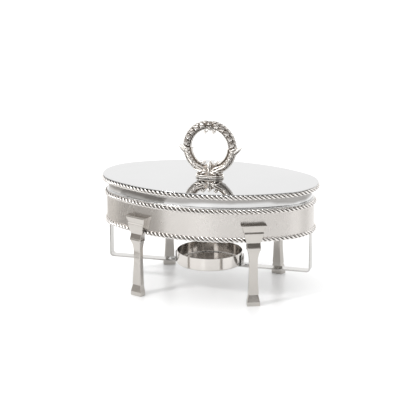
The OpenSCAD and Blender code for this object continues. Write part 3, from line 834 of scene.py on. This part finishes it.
def socket():
    # a straight-sided core, its rows being height, half-width and half-depth, then acanthus lobes that
    # fan from the middle of its foot into both arms
    rows = np.array([[-45.2, 19.6, 10.0], [-44.4, 20.2, 10.2], [-42.6, 19.4, 9.4], [-40.5, 18.6, 7.8],
                     [-38, 18.2, 6.6], [-36, 17.6, 5.8], [-34, 16.2, 5.3], [-32, 13.6, 4.8], [-30, 9.0, 4.2],
                     [-28.2, 4.0, 3.2]])
    fine = np.linspace(0, len(rows) - 1, 40)
    z, halfX, halfY = (np.interp(fine, np.arange(len(rows)), rows[:, k]) for k in range(3))
    turn = np.arange(48) / 48 * tau
    rings = np.stack([halfX[:, None] * np.cos(turn), halfY[:, None] * np.sin(turn),
                      ringZ + z[:, None] + 0 * turn], -1)
    points, faces = tube(rings)
    # painted shade: the socket's core under the lobes is painted mostly dark
    parts = [(points, faces, np.full(len(points), 0.8))]
    lobes = [  # knots (x, y, z), then half-widths at the root, the middle and the tip
        ([[1.2, 8.2, -42.5], [7.5, 8.0, -42], [11, 6.8, -35], [21, 6.0, -35.5], [31, 5.0, -26.5]],
         (0.9, 3.4, 0.5)),
        ([[1.0, 7.4, -41], [5.5, 7.0, -38], [9, 6.4, -31], [17, 6.0, -32.5], [25, 5.0, -27.0]],
         (0.8, 2.8, 0.5)),
        ([[2.0, 8.0, -42], [9.0, 8.0, -37], [14.0, 8.0, -38], [17.5, 8.8, -40], [19.8, 8.0, -44]],
         (0.8, 2.8, 1.2)),
        ([[0.8, 9.0, -43], [4.0, 9.0, -39], [8.0, 9.8, -41], [11.5, 10.2, -42], [13.0, 9.6, -44.8]],
         (0.8, 2.8, 1.0)),
        ([[4.0, 7.8, -38], [10.0, 7.2, -36.5], [15.5, 6.6, -39], [20.5, 5.6, -39.5], [26.5, 4.4, -36]],
         (0.8, 2.4, 0.6))]
    for s in (-1, 1):
        for face in (-1, 1):
            for knots, (root, middle, tip) in lobes:
                path = curve(*(np.array(knots) * [s, face, 1]).tolist())
                parts.append(sweep(path, taper(root, middle, tip), taper(root, middle * 0.8, tip), 2, 0.22))
    for face in (-1, 1):
        stem = curve([0, 9.8 * face, -44.8], [0, 9.4 * face, -40], [0, 6.6 * face, -35])
        parts.append(sweep(stem, taper(2.2, 2.6, 1.2), taper(1.6, 1.8, 1.2), 2, 0.25))
        t = np.linspace(0, 1, 26)
        swell = np.sin(math.pi * t ** 0.75) ** 0.75 + 0.02
        bud = np.stack([0 * t, face * (4.6 + 1.2 * np.sin(math.pi * t)), ringZ - 38.6 + 15.4 * t], -1)
        parts.append(sweep(bud, 4.1 * swell, 3.6 * swell, 1, 0.12))
    return parts


def handleFoot():
    # an oblong spool: a bead, a hollow and a bead, carried round a line with two round ends
    half, reach, rise = baseHigh[1], baseHigh[0], baseHigh[2] - baseLow[2]
    t = np.linspace(0, math.pi, 9)
    foot = np.column_stack([half - 1.3 + 1.3 * np.sin(t), 0.18 * rise * (1 - np.cos(t))])
    hollow = np.column_stack([half - 1.3 - 1.1 * np.sin(t[1:-1]),
                              rise * (0.36 + 0.12 * (1 - np.cos(t[1:-1])))])
    cap = np.column_stack([half - 1.3 + 1.3 * np.sin(t), rise * (0.6 + 0.19 * (1 - np.cos(t)))])
    outline = np.concatenate([[[half - 4, 0]], foot, hollow, cap, [[half - 4, 0.99 * rise]]])
    turn = np.arange(96) / 96 * tau + 1e-6
    middle = np.where(np.cos(turn) > 0, 1, -1) * (reach - half)
    rings = np.stack([middle + outline[:, :1] * np.cos(turn), outline[:, :1] * np.sin(turn),
                      baseLow[2] + outline[:, 1:] + 0 * turn], -1)
    points, faces = tube(rings)
    # painted shade: the spool is painted darker in its hollow between the beads
    depth = np.clip((half - outline[:, 0]) / 2.4, 0, 1)
    return points, faces, np.concatenate([np.repeat(depth, len(turn)), [0, 0]])


wreath()
gather("handleCradle", arms() + socket(), ["handle_cradle"], cradlePlating)
gather("handleFoot", [handleFoot()], ["handle_base"], cradlePlating)
print("handle made")

for name, cad in frame["nodes"].items():  # the plain nodes that stay get a finish of their own
    cad.data.materials.clear()
    cad.data.materials.append(panSteel if name == "lid_lip" else fastenerSteel)

# ---- floor, light and camera

cameraStyle = {"azimuth": 15.28, "elevation": 16.33, "distance": 2.8945, "lens": 155.8, "aside": -0.01635,
               "above": 0.0519, "height": 0.092}
floorStyle = {"reach": 6000.0, "under": 0.05, "gloss": 0.3}
floorFinish = Finish("floorGloss", Roughness=floorStyle["gloss"])
floorTone = floorFinish.noise(2, 2)
floorFinish.drive("Base Color", floorFinish.blend(floorTone, (0.82, 0.82, 0.82, 1), (0.84, 0.84, 0.84, 1)))
ripple = np.linspace(-1, 1, 41) * floorStyle["reach"]
x, y = np.meshgrid(ripple, ripple, indexing="ij")
points = np.stack([x, y, np.zeros_like(x) - floorStyle["under"]], -1).reshape(-1, 3)
makeMesh("floor", points, [gridFaces(41, 41, False, False)], None, material=floorFinish.material)

world = bpy.data.worlds.new("softRoom")
bpy.context.scene.world = world
world.use_nodes = True
world.node_tree.nodes["Background"].inputs["Color"].default_value = (1, 1, 1, 1)
world.node_tree.nodes["Background"].inputs["Strength"].default_value = 1.4


def areaLight(name, place, target, size, power):
    lamp = bpy.data.lights.new(name, "AREA")
    lamp.shape = "RECTANGLE"
    lamp.size, lamp.size_y = size
    lamp.energy = power
    holder = bpy.data.objects.new(name, lamp)
    holder.location = place
    holder.rotation_euler = (Vector(target) - Vector(place)).to_track_quat("-Z", "Y").to_euler()
    bpy.context.scene.collection.objects.link(holder)


areaLight("keyLight", (-1.3, -1.5, 1.9), (0, 0, 0.1), (0.4, 0.4), 26)


def darkCard(name, points, faces, shade):
    # a dark board that only reflections see, as is set round polished metal in a studio
    finish = Finish(name + "Paint", Roughness=0.9)
    finish.drive("Base Color", finish.blend(finish.noise(3, 2), (*shade, 1), (*(0.85 * c for c in shade), 1)))
    card = makeMesh(name, points, faces, None, material=finish.material)
    card.visible_camera = False
    card.visible_diffuse = False
    card.visible_shadow = False


# parts of a big sphere: turn to the right of the camera, elevation, and shade
boardStyle = {"away": 3600.0, "tint": (1.06, 1.0, 0.94), "patches": [
    ((-16, 48), (4, 65), 0.15), ((-95, -30), (4, 28), 0.32), ((84, 112), (4, 28), 0.2)]}
for number, (turns, rises, shade) in enumerate(boardStyle["patches"]):
    turn = np.radians(np.linspace(*turns, 24) + cameraStyle["azimuth"])[:, None]
    rise = np.radians(np.linspace(*rises, 16))[None, :]
    points = np.stack([np.cos(rise) * np.sin(turn), -np.cos(rise) * np.cos(turn),
                       np.sin(rise) + 0 * turn], -1)
    darkCard("board%d" % number, points.reshape(-1, 3) * boardStyle["away"],
             [gridFaces(24, 16, False, False)], [shade * tint for tint in boardStyle["tint"]])

# low grey cards on the floor at the left, so that the left end is not lit as brightly as the middle
cardStyle = {"away": 360.0, "high": 110.0, "tint": (1.03, 1.0, 0.96),
             "patches": [((-94, -52), 0.5), ((-150, -94.2), 0.82)]}
for number, (turns, shade) in enumerate(cardStyle["patches"]):
    turn = np.radians(np.linspace(*turns, 24) + cameraStyle["azimuth"])[:, None]
    height = np.linspace(0, cardStyle["high"], 4)[None, :]
    points = np.stack([np.sin(turn) * cardStyle["away"] + 0 * height,
                       -np.cos(turn) * cardStyle["away"] + 0 * height, height + 0 * turn], -1)
    darkCard("leftCard%d" % number, points.reshape(-1, 3), [gridFaces(24, 4, False, False)],
             [shade * tint for tint in cardStyle["tint"]])

a, e = math.radians(cameraStyle["azimuth"]), math.radians(cameraStyle["elevation"])
backward = Vector((math.sin(a) * math.cos(e), -math.cos(a) * math.cos(e), math.sin(e)))
rightward = Vector((math.cos(a), math.sin(a), 0))
upward = backward.cross(rightward)
middle = Vector((0, 0, cameraStyle["height"]))
camera = bpy.data.objects.new("camera", bpy.data.cameras.new("camera"))
camera.data.lens = cameraStyle["lens"]
camera.location = middle + backward * cameraStyle["distance"]
aim = middle + rightward * cameraStyle["aside"] + upward * cameraStyle["above"]
camera.rotation_euler = (aim - camera.location).to_track_quat("-Z", "Y").to_euler()
bpy.context.scene.collection.objects.link(camera)
bpy.context.scene.camera = camera
bpy.context.scene.view_settings.view_transform = "Standard"
print("floor, light and camera set")
